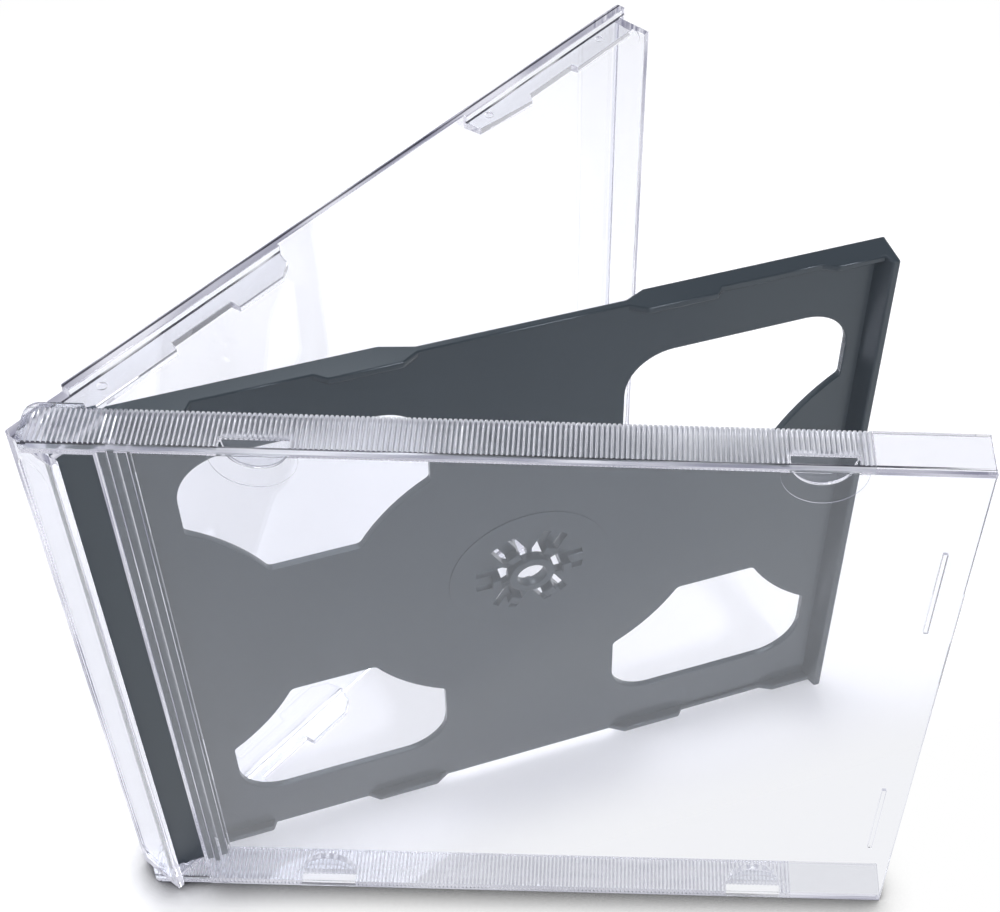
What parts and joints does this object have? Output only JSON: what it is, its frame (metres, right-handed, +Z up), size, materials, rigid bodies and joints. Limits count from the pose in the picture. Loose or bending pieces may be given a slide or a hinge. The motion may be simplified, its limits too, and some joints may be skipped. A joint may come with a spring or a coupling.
{
  "type": "disc jewel case",
  "caption": "Clear double disc jewel case standing open on its long edge, with a black swing-out disc tray between hinged front and back covers.",
  "frame": {"origin": "centre of the bounding box on the surface it stands on, case open as pictured", "axes": "+Z up along the hinges, +X along the front cover from the hinge to its opening edge, +Y from the front cover towards the back cover"},
  "size_m": [0.1436, 0.118, 0.1245],
  "materials": {
    "clear_cover": "clear polished polystyrene",
    "clear_back": "clear polished polystyrene",
    "black_tray": "satin black polystyrene"
  },
  "bodies": {
    "back": {"back_cover": "clear_back"},
    "cover": {"front_cover": "clear_cover"},
    "tray": {"swing_tray": "black_tray"}
  },
  "joints": [
    {"name": "cover_hinge", "type": "hinge", "parent": "back", "child": "cover", "pos_m": [-0.06473, -0.05133, 0.06225], "axis": [0, 0, 1], "range_deg": [-128, 52]},
    {"name": "tray_hinge", "type": "hinge", "parent": "back", "child": "tray", "pos_m": [-0.06333, -0.05344, 0.06225], "axis": [0, 0, 1], "range_deg": [-78.5, 31.8]}
  ],
  "couplings": [
    {"joint": "tray_hinge", "follows": "cover_hinge", "ratio": 0.60962}
  ]
}
